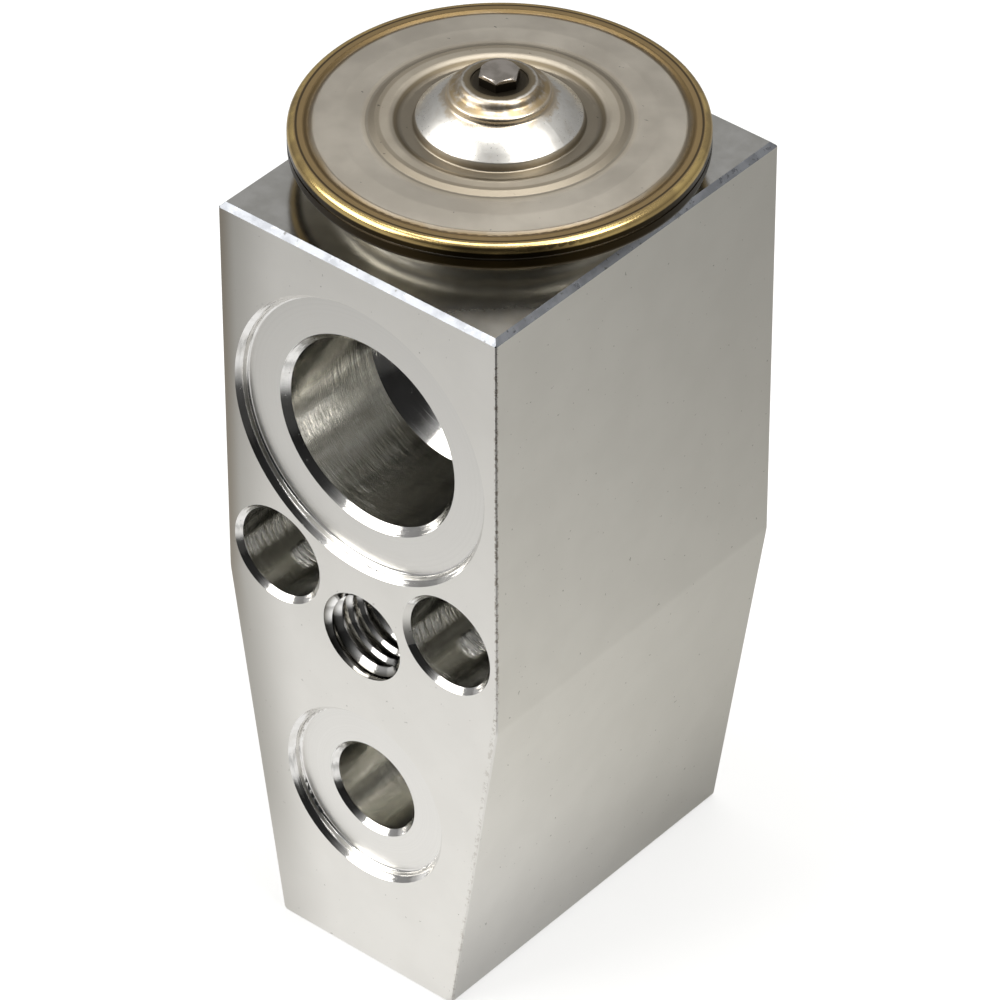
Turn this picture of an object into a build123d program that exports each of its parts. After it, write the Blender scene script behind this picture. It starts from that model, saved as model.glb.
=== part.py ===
from build123d import *
import os
from math import cos, radians, sin, sqrt, tan

# Block-type thermostatic expansion valve, in millimetres.
# The origin is at the centre of the foot face. X runs across the pipe face, Y runs from the pipe
# face at the front to the evaporator face at the back, and Z runs up through the power head.

# Block, cut from an extruded bar whose sides taper to the foot
block_width = 28.0
block_depth = 34.0
foot_width = 18.2
left_knee_height = 34.0
right_knee_height = 31.4
knee_radius = 3.0
foot_radius = 0.5
top_chamfer = 0.45
edge_break = 0.12

# Heights of the ports and holes, each one counted from a lower one
liquid_height = 17.4
bolt_rise = 20.3
thread_drop = 3.8
suction_rise = 15.7
head_floor_wall = 1.85

# Seal recesses round the ports
recess_depth = 1.0
recess_chamfer = 0.45
recess_corner = 0.27
suction_recess_wall = 1.2
liquid_recess_radius = 8.2

# Suction way, the same from both faces
suction_bore_radius = 8.35
suction_bore_depth = 11.0
suction_passage_radius = 6.6
suction_lip_chamfer = 0.6

# Liquid way: inlet at the front, outlet at the back
liquid_bore_radius = 4.0
liquid_lip_chamfer = 0.45
liquid_bore_depth = 9.0
inlet_passage_radius = 2.6
outlet_passage_radius = 3.6
outlet_overrun = 2.0

# Bolt holes right through, and the threaded hole for the pipe clamp
bolt_hole_radius = 4.05
bolt_hole_chamfer = 0.45
bolt_side_wall = 1.15
clamp_thread_radius = 4.0
clamp_drill_radius = 3.4
clamp_drill_overrun = 2.0
clamp_end_wall = 1.06
drill_point = 0.6

# Power head: two pressed covers with the diaphragm welded between them
head_gap = 2.4
sheet = 1.1
rim_inset = 0.6
rim_rounding = 1.0
flange_width = 3.6
cup_shoulder = 1.6
cup_flare = 1.0
diaphragm_thickness = 0.2
diaphragm_edge = 0.12
wave_depth = 0.5
wave_inset = 1.9
wave_width = 1.1

# Threaded neck of the lower cover, and its seal
neck_inset = 3.1
neck_relief = 0.5
neck_relief_length = 2.0
neck_wall = 1.6
neck_length = 5.8
neck_end_gap = 0.4
head_opening_step = 0.52
head_seal_wire = 0.8

# Lid of the head, from its rim groove in to the cone round the charging hole
groove_inset = 1.6
groove_width = 0.6
groove_depth = 0.2
ridge_inset = 2.4
ridge_rise = 0.12
step_width = 2.6
step_rise = 0.25
moat_width = 1.6
moat_depth = 0.45
cone_radius = 6.5
cone_foot_rise = 0.6
cone_top_radius = 4.1
cone_top_rise = 2.4
cone_bulge = 0.14
cone_rounding = 6.0
weld_ring_rise = 0.5
nose_radius = 3.05
nose_rise = 3.85
nose_rounding = 0.6
nose_flare = 0.35
plug_seat_radius = 2.2
plug_seat_depth = 0.15
charge_hole_radius = 0.9

# Charging plug
plug_flats = 2.9
plug_height = 1.05
plug_chamfer = 0.25
plug_stem_length = 2.0

# Moving train between the diaphragm and the ball
valve_travel = 0.6
stop_gap = 0.1
pad_edge_gap = 0.9
pad_rounding = 0.8
pad_hub_radius = 5.0
pad_hub_length = 2.2
spigot_radius = 2.0
spigot_length = 1.6
sensing_rod_radius = 3.0
push_rod_radius = 1.2
rod_chamfer = 0.3
end_gap = 0.2

# Seal gland round the sensing rod
gland_depth = 3.2
guide_length = 5.5
rod_seal_wire = 0.95
retainer_thickness = 0.6
retainer_hole_gap = 0.35
retainer_notch_width = 1.2

# Damper on the push rod
damper_radius = 2.85
damper_wall = 0.25
damper_height = 2.2
damper_headroom = 0.4
finger_width = 1.1

# Orifice, ball and spring
seat_drop = 2.7
seat_standout = 0.5
partition = 2.6
bush_radius = 3.4
orifice_radius = 1.7
ball_radius = 2.2
seat_gap = 0.05
carrier_cup_radius = 2.7
carrier_cup_drop = 0.4
carrier_floor = 0.25
carrier_flange_radius = 4.4
carrier_flange = 1.0
pilot_length = 2.0
chamber_radius = 5.2
spring_radius = 3.6
spring_wire = 0.45
spring_turns = 4.0
spring_end_gap = 0.02

# Adjuster in the foot
adjuster_radius = 6.0
adjuster_recess = 0.95
adjuster_thread_length = 3.6
adjuster_plain_length = 3.4
adjuster_travel = 0.9
adjuster_pilot_length = 1.2
adjuster_mouth_chamfer = 0.5
adjuster_groove_width = 1.3
adjuster_groove_height = 0.9
adjuster_seal_wire = 0.55
socket_flats = 5.0
socket_depth = 2.6

# Fits
running_gap = 0.05
thread_gap = 0.05
seal_gap = 0.03
pilot_gap = 0.25
beyond = 1.0
longest_rounding = 0.48

# Places that follow from the sizes above
bolt_height = liquid_height + bolt_rise
thread_height = bolt_height - thread_drop
suction_height = bolt_height + suction_rise
head_bore_floor = suction_height + suction_bore_radius + head_floor_wall
block_height = head_bore_floor + neck_end_gap + neck_length
front = -block_depth / 2
back = block_depth / 2
suction_recess_radius = block_width / 2 - suction_recess_wall
bolt_spacing = block_width - 2 * (bolt_hole_radius + bolt_side_wall)

seat_height = liquid_height + seat_drop
chamber_top = seat_height + seat_standout
bush_top = chamber_top + partition
outlet_height = bush_top + outlet_passage_radius
ball_height = seat_height - sqrt(ball_radius**2 - orifice_radius**2) - seat_gap
carrier_top = ball_height - carrier_cup_drop
flange_top = ball_height - ball_radius - carrier_floor
spring_top = flange_top - carrier_flange
adjuster_step = adjuster_recess + adjuster_thread_length
adjuster_top = adjuster_step + adjuster_plain_length

gland_floor = suction_height - suction_passage_radius - gland_depth
guide_end = gland_floor - guide_length
damper_seat = outlet_height + outlet_passage_radius + damper_height + damper_headroom
damper_bore_radius = damper_radius + running_gap
gland_radius = sensing_rod_radius + running_gap + 2 * rod_seal_wire + seal_gap
head_opening_radius = gland_radius + head_opening_step
clamp_drill_depth = block_depth / 2 - damper_bore_radius - clamp_end_wall - drill_point * clamp_drill_radius
clamp_thread_depth = clamp_drill_depth - clamp_drill_overrun

rim_radius = block_depth / 2 - rim_inset
cup_radius = rim_radius - flange_width
wave_radius = cup_radius - wave_inset
pad_radius = wave_radius - wave_width - pad_edge_gap
neck_radius = cup_radius - neck_inset
neck_bore_radius = neck_radius - neck_wall
head_seal_radius = neck_radius - neck_relief + head_seal_wire + seal_gap
groove_radius = rim_radius - groove_inset
ridge_radius = groove_radius - ridge_inset
moat_radius = cone_radius + moat_width / 2
step_radius = moat_radius + step_width

cup_floor = block_height + sheet
diaphragm_height = block_height + head_gap + sheet
lid_height = diaphragm_height + diaphragm_thickness + sheet
nose_seat = lid_height + nose_rise - plug_seat_depth
pad_underside = cup_floor + valve_travel + stop_gap
hub_underside = pad_underside - pad_hub_length
sensing_rod_foot = guide_end + valve_travel + end_gap


def outline(*corners):
    """Face in the XZ plane. A corner is its X, its Z and, where rounded, its rounding."""
    points = [Vector(corner[0], 0, corner[1]) for corner in corners]
    arcs = []
    ends = []
    for i, corner in enumerate(corners):
        here = points[i]
        before = points[i - 1] - here
        after = points[(i + 1) % len(points)] - here
        rounding = corner[2] if len(corner) == 3 else 0
        half = radians(before.get_angle(after)) / 2
        reach = min(rounding / tan(half), longest_rounding * min(before.length, after.length))
        enter = here + before.normalized() * reach
        leave = here + after.normalized() * reach
        ends.append((enter, leave))
        if reach > 0:
            bisector = (before.normalized() + after.normalized()).normalized()
            middle = here + bisector * reach * (1 - sin(half)) / cos(half)
            arcs.append(ThreePointArc(enter, middle, leave))
    lines = [Line(ends[i - 1][1], ends[i][0]) for i in range(len(ends))]
    return make_face(lines + arcs)


def turned(*corners):
    """Round solid about Z, from the corners of its half section: radius, height and rounding."""
    return revolve(outline(*corners), Axis.Z)


def from_front(x, height):
    """Place on the front face, with local Z pointing into the block."""
    return Plane(origin=(x, front, height), x_dir=(1, 0, 0), z_dir=(0, 1, 0))


def from_back(x, height):
    """Place on the back face, with local Z pointing into the block."""
    return Plane(origin=(x, back, height), x_dir=(-1, 0, 0), z_dir=(0, -1, 0))


def hexagon(flats, length, height):
    """Six-sided bar along Z, standing on the given height, with its flats facing front and back."""
    return Pos(0, 0, height) * extrude(RegularPolygon(flats / sqrt(3), 6), length)


def ring(radius, wire, height):
    """Round-section ring about Z."""
    return Pos(0, 0, height) * Torus(radius, wire)


# Cutting tools for the block

def port_tool(recess_radius, bore_radius, lip_chamfer, bore_depth, passage_radius, end):
    """Seal recess, bore, the cone down to the inner passage, and the drill point at its end."""
    recess_wall = recess_radius - recess_chamfer
    cone_end = bore_depth + bore_radius - passage_radius
    return turned(
        (0, -beyond),
        (recess_radius + beyond, -beyond),
        (recess_wall, recess_chamfer, recess_corner),
        (recess_wall, recess_depth, recess_corner),
        (bore_radius + lip_chamfer, recess_depth),
        (bore_radius, recess_depth + lip_chamfer),
        (bore_radius, bore_depth),
        (passage_radius, cone_end),
        (passage_radius, end),
        (0, end + drill_point * passage_radius),
    )


def bolt_tool():
    """Plain hole through the block, with both mouths chamfered."""
    mouth = bolt_hole_radius + bolt_hole_chamfer
    return turned(
        (0, -beyond),
        (mouth + beyond, -beyond),
        (bolt_hole_radius, bolt_hole_chamfer),
        (bolt_hole_radius, block_depth - bolt_hole_chamfer),
        (mouth + beyond, block_depth + beyond),
        (0, block_depth + beyond),
    )


def clamp_tool():
    """Blind threaded hole, at the thread's outer radius, with the drilled end below it."""
    return turned(
        (0, -beyond),
        (clamp_thread_radius, -beyond),
        (clamp_thread_radius, clamp_thread_depth),
        (clamp_drill_radius, clamp_thread_depth),
        (clamp_drill_radius, clamp_drill_depth),
        (0, clamp_drill_depth + drill_point * clamp_drill_radius),
    )


def axis_tool():
    """Stepped bore on the valve's axis, from the head's seat down to the adjuster's mouth."""
    seal_recess_radius = head_seal_radius + head_seal_wire + seal_gap
    seal_recess_floor = block_height - 2 * head_seal_wire - seal_gap
    thread_end = adjuster_step + adjuster_travel + end_gap
    return turned(
        (0, block_height + beyond),
        (seal_recess_radius, block_height + beyond),
        (seal_recess_radius, seal_recess_floor),
        (neck_radius, seal_recess_floor),
        (neck_radius, head_bore_floor),
        (head_opening_radius, head_bore_floor),
        (head_opening_radius, suction_height),
        (gland_radius, suction_height),
        (gland_radius, gland_floor),
        (sensing_rod_radius + running_gap, gland_floor),
        (sensing_rod_radius + running_gap, guide_end),
        (push_rod_radius + running_gap, guide_end),
        (push_rod_radius + running_gap, damper_seat),
        (damper_bore_radius, damper_seat),
        (damper_bore_radius, outlet_height),
        (bush_radius, outlet_height),
        (bush_radius, chamber_top),
        (chamber_radius, chamber_top),
        (chamber_radius, thread_end),
        (adjuster_radius, thread_end),
        (adjuster_radius, adjuster_mouth_chamfer),
        (adjuster_radius + adjuster_mouth_chamfer + beyond, -beyond),
        (0, -beyond),
    )


def bar():
    """The extruded bar, cut to length, with its cut edges broken and its top edges chamfered all round."""
    half = block_width / 2
    foot = foot_width / 2
    shoulder = block_height - top_chamfer
    profile = outline(
        (half - top_chamfer, block_height),
        (half, shoulder),
        (half, right_knee_height, knee_radius),
        (foot, 0, foot_radius),
        (-foot, 0, foot_radius),
        (-half, left_knee_height, knee_radius),
        (-half, shoulder),
        (top_chamfer - half, block_height),
    )
    length = extrude(profile, block_depth / 2, both=True)
    length = chamfer(length.faces().filter_by(Axis.Y).edges(), edge_break)
    side = Polyline(
        (0, front, 0),
        (0, front, shoulder),
        (0, front + top_chamfer, block_height),
        (0, back - top_chamfer, block_height),
        (0, back, shoulder),
        (0, back, 0),
        close=True,
    )
    return length & extrude(make_face(side), block_width, both=True)


def valve_body():
    """The block with every port, hole and passage cut."""
    middle = block_depth / 2
    suction = (suction_recess_radius, suction_bore_radius, suction_lip_chamfer, suction_bore_depth)
    liquid = (liquid_recess_radius, liquid_bore_radius, liquid_lip_chamfer, liquid_bore_depth)
    suction_tool = port_tool(*suction, suction_passage_radius, middle)
    inlet_tool = port_tool(*liquid, inlet_passage_radius, middle)
    outlet_tool = port_tool(*liquid, outlet_passage_radius, middle + outlet_overrun)
    body = bar()
    body -= from_front(0, suction_height) * suction_tool
    body -= from_back(0, suction_height) * suction_tool
    body -= from_front(0, liquid_height) * inlet_tool
    body -= from_back(0, outlet_height) * outlet_tool
    body -= from_front(0, thread_height) * clamp_tool()
    for side in (-1, 1):
        body -= from_front(side * bolt_spacing / 2, bolt_height) * bolt_tool()
    return body - axis_tool()


# Power head

def head_lower_cover():
    """Pressed cup with its flange above and its threaded neck below."""
    rim_bottom = block_height + head_gap
    inner = cup_radius - sheet
    thread = neck_radius - thread_gap
    relief = neck_radius - neck_relief
    return turned(
        (rim_radius, diaphragm_height),
        (rim_radius, rim_bottom, rim_rounding),
        (cup_radius, rim_bottom, cup_flare),
        (cup_radius, block_height, cup_shoulder),
        (relief, block_height),
        (relief, block_height - neck_relief_length),
        (thread, block_height - neck_relief_length),
        (thread, block_height - neck_length),
        (neck_bore_radius, block_height - neck_length),
        (neck_bore_radius, cup_floor),
        (inner, cup_floor, cup_shoulder - sheet),
        (inner, diaphragm_height, cup_flare + sheet / 2),
    )


def head_upper_cover():
    """Pressed lid, with a coined groove, a step, a moat and the cone for the charging plug."""
    underside = lid_height - sheet
    ridge = lid_height + ridge_rise
    plateau = ridge + step_rise
    moat_floor = plateau - moat_depth
    cone_foot = lid_height + cone_foot_rise
    cone_top = lid_height + cone_top_rise
    weld_top = cone_top + weld_ring_rise
    nose = lid_height + nose_rise
    neck = nose_radius + nose_flare
    cone_middle = (cone_radius + cone_top_radius) / 2 + cone_bulge
    moat_in = moat_radius - moat_width / 2
    moat_out = moat_radius + moat_width / 2
    return turned(
        (rim_radius, underside),
        (rim_radius, lid_height, rim_rounding),
        (groove_radius + groove_width / 2, lid_height, 0.1),
        (groove_radius, lid_height - groove_depth, 0.2),
        (groove_radius - groove_width / 2, lid_height, 0.1),
        (ridge_radius, ridge, 3.0),
        (step_radius + step_rise, ridge, 0.15),
        (step_radius - step_rise, plateau, 0.15),
        (moat_out + moat_depth, plateau, 0.6),
        (moat_out - moat_depth, moat_floor, 0.5),
        (moat_in + 0.2, moat_floor, 0.15),
        (cone_radius, cone_foot, 0.12),
        (cone_middle, (cone_foot + cone_top) / 2 + cone_bulge, cone_rounding),
        (cone_top_radius, cone_top, 0.35),
        (cone_top_radius, weld_top, 0.25),
        (neck, weld_top + nose_flare, 0.4),
        (nose_radius, nose, nose_rounding),
        (plug_seat_radius, nose, 0.08),
        (plug_seat_radius, nose_seat),
        (charge_hole_radius, nose_seat),
        (charge_hole_radius, weld_top - sheet),
        (cone_top_radius - 1.2, cone_top - sheet, 0.5),
        (cone_radius - 0.5, plateau - sheet, 0.8),
        (step_radius, plateau - sheet, 0.8),
        (groove_radius - groove_width, underside, 0.5),
    )


def head_diaphragm():
    """Thin disc with one pressed wave near its edge."""
    low = diaphragm_height
    high = diaphragm_height + diaphragm_thickness
    edge = rim_radius - diaphragm_edge
    inner = wave_radius - wave_width
    outer = wave_radius + wave_width
    return turned(
        (0, high),
        (inner, high, 0.6),
        (wave_radius, high - wave_depth, 0.6),
        (outer, high, 0.6),
        (edge, high),
        (edge, low),
        (outer, low, 0.6),
        (wave_radius, low - wave_depth, 0.6),
        (inner, low, 0.6),
        (0, low),
    )


def charge_plug():
    """Plug with a chamfered hex head and a plain stem in the charging hole."""
    top = nose_seat + plug_height
    corner = plug_flats / sqrt(3)
    head = hexagon(plug_flats, plug_height, nose_seat)
    head &= turned(
        (0, nose_seat),
        (corner + beyond, nose_seat),
        (corner + beyond, top - plug_chamfer),
        (corner, top - plug_chamfer),
        (corner - plug_chamfer, top),
        (0, top),
    )
    stem = turned(
        (0, nose_seat),
        (charge_hole_radius - seal_gap, nose_seat),
        (charge_hole_radius - seal_gap, nose_seat - plug_stem_length),
        (0, nose_seat - plug_stem_length),
    )
    return head + stem


def head_seal_ring():
    """Seal between the lower cover and the block's top."""
    return ring(head_seal_radius, head_seal_wire, block_height - head_seal_wire)


# Moving train

def diaphragm_pad():
    """Stop plate under the diaphragm, with a hub that takes the sensing rod."""
    return turned(
        (0, diaphragm_height),
        (pad_radius, diaphragm_height, pad_rounding),
        (pad_radius, pad_underside, rod_chamfer),
        (pad_hub_radius, pad_underside),
        (pad_hub_radius, hub_underside, rod_chamfer),
        (spigot_radius, hub_underside),
        (spigot_radius, hub_underside + spigot_length),
        (0, hub_underside + spigot_length),
    )


def sensing_rod():
    """Rod across the suction way, with a spigot in the pad's hub."""
    return turned(
        (0, hub_underside + spigot_length),
        (spigot_radius, hub_underside + spigot_length),
        (spigot_radius, hub_underside),
        (sensing_rod_radius, hub_underside, rod_chamfer),
        (sensing_rod_radius, sensing_rod_foot, rod_chamfer),
        (0, sensing_rod_foot),
    )


def push_rod():
    """Thin rod from the sensing rod's foot down to the ball."""
    foot = ball_height + ball_radius
    return turned(
        (0, sensing_rod_foot),
        (push_rod_radius, sensing_rod_foot),
        (push_rod_radius, foot, rod_chamfer),
        (0, foot),
    )


def valve_ball():
    """Ball under the orifice."""
    return Pos(0, 0, ball_height) * Sphere(ball_radius)


def ball_carrier():
    """Cup for the ball, on a flange with a pilot in the spring."""
    pilot = spring_radius - spring_wire - pilot_gap
    carrier = turned(
        (0, carrier_top),
        (carrier_cup_radius, carrier_top, rod_chamfer),
        (carrier_cup_radius, flange_top),
        (carrier_flange_radius, flange_top),
        (carrier_flange_radius, spring_top),
        (pilot, spring_top),
        (pilot, spring_top - pilot_length, rod_chamfer),
        (0, spring_top - pilot_length),
    )
    return carrier - valve_ball()


# Seal gland, damper and seat

def rod_seal():
    """Seal round the sensing rod, in the gland below the suction way."""
    radius = sensing_rod_radius + running_gap + rod_seal_wire
    return ring(radius, rod_seal_wire, gland_floor + rod_seal_wire)


def rod_seal_retainer():
    """Stamped washer pressed into the gland, with three notches in its hole."""
    low = gland_floor + 2 * rod_seal_wire
    high = low + retainer_thickness
    hole = sensing_rod_radius + retainer_hole_gap
    washer = turned((hole, low), (gland_radius, low), (gland_radius, high), (hole, high))
    notch = Pos(hole, 0, low) * Box(retainer_notch_width, retainer_notch_width, 4 * retainer_thickness)
    for turn in range(3):
        washer -= Rot(0, 0, 120 * turn) * notch
    return washer


def rod_damper():
    """Thin ring with three spring fingers that bear on the push rod."""
    low = damper_seat - damper_height
    shell = turned(
        (damper_radius - damper_wall, low),
        (damper_radius, low),
        (damper_radius, damper_seat),
        (damper_radius - damper_wall, damper_seat),
    )
    rod = push_rod_radius + running_gap
    slope = outline(
        (damper_radius - damper_wall / 2, damper_seat),
        (damper_radius - damper_wall / 2, damper_seat - damper_wall),
        (rod + damper_wall, low + damper_wall),
        (rod + damper_wall, low),
        (rod, low),
        (rod, low + 2 * damper_wall),
    )
    finger = extrude(slope, finger_width / 2, both=True)
    finger -= Pos(0, 0, damper_seat - damper_height / 2) * Cylinder(rod, 2 * damper_height)
    for turn in range(3):
        shell += Rot(0, 0, 120 * turn) * finger
    return shell


def seat_bush():
    """Bush pressed into the partition, with the orifice and its seat edge at the bottom."""
    return turned(
        (orifice_radius, seat_height),
        (bush_radius, seat_height, rod_chamfer),
        (bush_radius, bush_top),
        (orifice_radius, bush_top),
    )


# Spring and adjuster

def superheat_spring():
    """Coil spring between the adjuster and the carrier."""
    low = adjuster_top + spring_end_gap + spring_wire
    high = spring_top - spring_end_gap - spring_wire
    coil = Helix((high - low) / spring_turns, high - low, spring_radius)
    start = Plane(origin=coil @ 0, z_dir=coil % 0)
    return Pos(0, 0, low) * sweep(start * Circle(spring_wire), path=coil, is_frenet=True)


def adjuster_screw():
    """Threaded plug with a hex socket below and the spring's pilot above."""
    plain = chamber_radius - running_gap
    groove = plain - 2 * adjuster_seal_wire - seal_gap
    groove_low = adjuster_step + adjuster_groove_height
    groove_high = groove_low + adjuster_groove_width
    pilot = spring_radius - spring_wire - pilot_gap
    screw = turned(
        (0, adjuster_recess),
        (adjuster_radius - thread_gap, adjuster_recess, rod_chamfer),
        (adjuster_radius - thread_gap, adjuster_step),
        (plain, adjuster_step),
        (plain, groove_low),
        (groove, groove_low),
        (groove, groove_high),
        (plain, groove_high),
        (plain, adjuster_top, rod_chamfer),
        (pilot, adjuster_top),
        (pilot, adjuster_top + adjuster_pilot_length, rod_chamfer),
        (0, adjuster_top + adjuster_pilot_length),
    )
    return screw - hexagon(socket_flats, socket_depth + beyond, adjuster_recess - beyond)


def adjuster_seal():
    """Seal in the adjuster's groove."""
    radius = chamber_radius - running_gap - adjuster_seal_wire
    middle = adjuster_step + adjuster_groove_height + adjuster_groove_width / 2
    return ring(radius, adjuster_seal_wire, middle)


pieces = [
    valve_body,
    head_lower_cover,
    head_upper_cover,
    head_diaphragm,
    charge_plug,
    head_seal_ring,
    diaphragm_pad,
    sensing_rod,
    push_rod,
    valve_ball,
    ball_carrier,
    rod_seal,
    rod_seal_retainer,
    rod_damper,
    seat_bush,
    superheat_spring,
    adjuster_screw,
    adjuster_seal,
]

os.makedirs("parts", exist_ok=True)
for piece in pieces:
    export_step(piece(), f"parts/{piece.__name__}.step")
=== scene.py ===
"""Dresses the built expansion valve for its studio picture: block, clamp thread, head and inner pieces."""
from __future__ import annotations

import logging
import math
from dataclasses import dataclass
from enum import Enum
from typing import Any, Mapping, Union

import bpy
import numpy as np
from mathutils import Matrix, Vector


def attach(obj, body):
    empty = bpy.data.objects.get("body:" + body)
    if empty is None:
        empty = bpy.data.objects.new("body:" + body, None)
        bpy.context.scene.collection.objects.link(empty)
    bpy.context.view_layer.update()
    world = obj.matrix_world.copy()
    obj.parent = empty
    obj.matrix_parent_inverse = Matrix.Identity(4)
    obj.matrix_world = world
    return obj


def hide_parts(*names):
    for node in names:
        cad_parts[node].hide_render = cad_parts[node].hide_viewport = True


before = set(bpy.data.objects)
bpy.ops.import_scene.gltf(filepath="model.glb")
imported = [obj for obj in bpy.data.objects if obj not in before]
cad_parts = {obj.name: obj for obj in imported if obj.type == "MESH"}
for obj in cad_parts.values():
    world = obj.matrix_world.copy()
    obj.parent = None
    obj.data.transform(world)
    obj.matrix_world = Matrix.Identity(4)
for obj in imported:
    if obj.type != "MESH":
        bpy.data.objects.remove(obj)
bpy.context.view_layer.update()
MM = 0.001
log = logging.getLogger("valve")
Colour = tuple[float, float, float, float]


def tone(red: int, green: int, blue: int) -> Colour:
    """Turns a colour as a screen shows it, 0 to 255, into the linear colour that a shader takes.

    Args:
        red: Red part.
        green: Green part.
        blue: Blue part.

    Returns:
        The linear colour with full alpha.
    """
    def linear(value: int) -> float:
        """Linear light of one screen value."""
        part = value / 255
        return part / 12.92 if part <= 0.04045 else ((part + 0.055) / 1.055) ** 2.4

    return (linear(red), linear(green), linear(blue), 1.0)


class Wire:
    """One number on its way through a node tree, which takes part in Python expressions."""

    def __init__(self, bench: "Bench", socket: bpy.types.NodeSocket) -> None:
        """Wraps an output socket of a node on the bench."""
        self.bench = bench
        self.socket = socket

    def maths(self, operation: str, *values: "Number") -> "Wire":
        """Adds one Math node.

        Args:
            operation: The node's operation.
            values: Its inputs in order, wires or plain numbers.

        Returns:
            The node's result.
        """
        node = self.bench.add("ShaderNodeMath", {"operation": operation}, dict(enumerate(values)))
        return Wire(self.bench, node.outputs[0])

    def __add__(self, other: "Number") -> "Wire":
        """Sum."""
        return self.maths("ADD", self, other)

    def __radd__(self, other: "Number") -> "Wire":
        """Sum with the number first."""
        return self.maths("ADD", other, self)

    def __sub__(self, other: "Number") -> "Wire":
        """Difference."""
        return self.maths("SUBTRACT", self, other)

    def __rsub__(self, other: "Number") -> "Wire":
        """Difference with the number first."""
        return self.maths("SUBTRACT", other, self)

    def __mul__(self, other: "Number") -> "Wire":
        """Product."""
        return self.maths("MULTIPLY", self, other)

    def __rmul__(self, other: "Number") -> "Wire":
        """Product with the number first."""
        return self.maths("MULTIPLY", other, self)

    def __truediv__(self, other: "Number") -> "Wire":
        """Quotient."""
        return self.maths("DIVIDE", self, other)

    def __pow__(self, other: "Number") -> "Wire":
        """Power."""
        return self.maths("POWER", self, other)

    def size(self) -> "Wire":
        """The number without its sign."""
        return self.maths("ABSOLUTE", self)

    def sine(self) -> "Wire":
        """Sine of the number in radians."""
        return self.maths("SINE", self)

    def most(self, other: "Number") -> "Wire":
        """The larger of two numbers."""
        return self.maths("MAXIMUM", self, other)

    def least(self, other: "Number") -> "Wire":
        """The smaller of two numbers."""
        return self.maths("MINIMUM", self, other)

    def rise(self, low: float, high: float) -> "Wire":
        """A soft step that is 0 below one value and 1 above the other.

        Args:
            low: Where the step starts.
            high: Where it is full; below low it steps down instead.

        Returns:
            The step's value.
        """
        start, end, first, last = (low, high, 0.0, 1.0) if low < high else (high, low, 1.0, 0.0)
        node = self.bench.add("ShaderNodeMapRange", {"interpolation_type": "SMOOTHSTEP"},
                              {0: self, 1: start, 2: end, 3: first, 4: last})
        return Wire(self.bench, node.outputs[0])

    def band(self, centre: float, half: float, soft: float) -> "Wire":
        """1 in a band round a value and 0 outside it.

        Args:
            centre: Middle of the band.
            half: Half of its width.
            soft: Width over which it fades.

        Returns:
            The band's mask.
        """
        return (self - centre).size().rise(half + soft, half)


Number = Union[Wire, float]


class Bench:
    """Puts nodes into one node tree and joins them."""

    def __init__(self, tree: bpy.types.NodeTree) -> None:
        """Takes a tree and empties it."""
        self.tree = tree
        tree.nodes.clear()

    def add(self, kind: str, settings: Mapping[str, Any] | None = None,
            sockets: Mapping[Any, Any] | None = None) -> bpy.types.Node:
        """Adds a node.

        Args:
            kind: The node's type.
            settings: Its settings, such as a Math node's operation, which are set first.
            sockets: Values, wires or output sockets for its inputs, by name or number.

        Returns:
            The new node.
        """
        node = self.tree.nodes.new(kind)
        for name, value in (settings or {}).items():
            setattr(node, name, value)
        for key, value in (sockets or {}).items():
            if isinstance(value, Wire):
                self.tree.links.new(value.socket, node.inputs[key])
            elif isinstance(value, bpy.types.NodeSocket):
                self.tree.links.new(value, node.inputs[key])
            else:
                node.inputs[key].default_value = value
        return node

    def number(self, node: bpy.types.Node, output: int | str = 0) -> Wire:
        """A node's output as a wire."""
        return Wire(self, node.outputs[output])

    def axes(self, vector: bpy.types.NodeSocket) -> tuple[Wire, Wire, Wire]:
        """Splits a vector into its three numbers.

        Args:
            vector: The vector's socket.

        Returns:
            Its x, y and z.
        """
        parts = self.add("ShaderNodeSeparateXYZ", None, {0: vector})
        return self.number(parts, 0), self.number(parts, 1), self.number(parts, 2)

    def reflected(self) -> tuple[Wire, Wire]:
        """Tells how the light path that asks came here.

        Returns:
            Whether it comes straight from the camera, and whether it is mirrored or refracted.
        """
        paths = self.add("ShaderNodeLightPath")
        mirrored = self.number(paths, "Is Glossy Ray").most(self.number(paths, "Is Transmission Ray"))
        return self.number(paths, "Is Camera Ray"), mirrored


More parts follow.
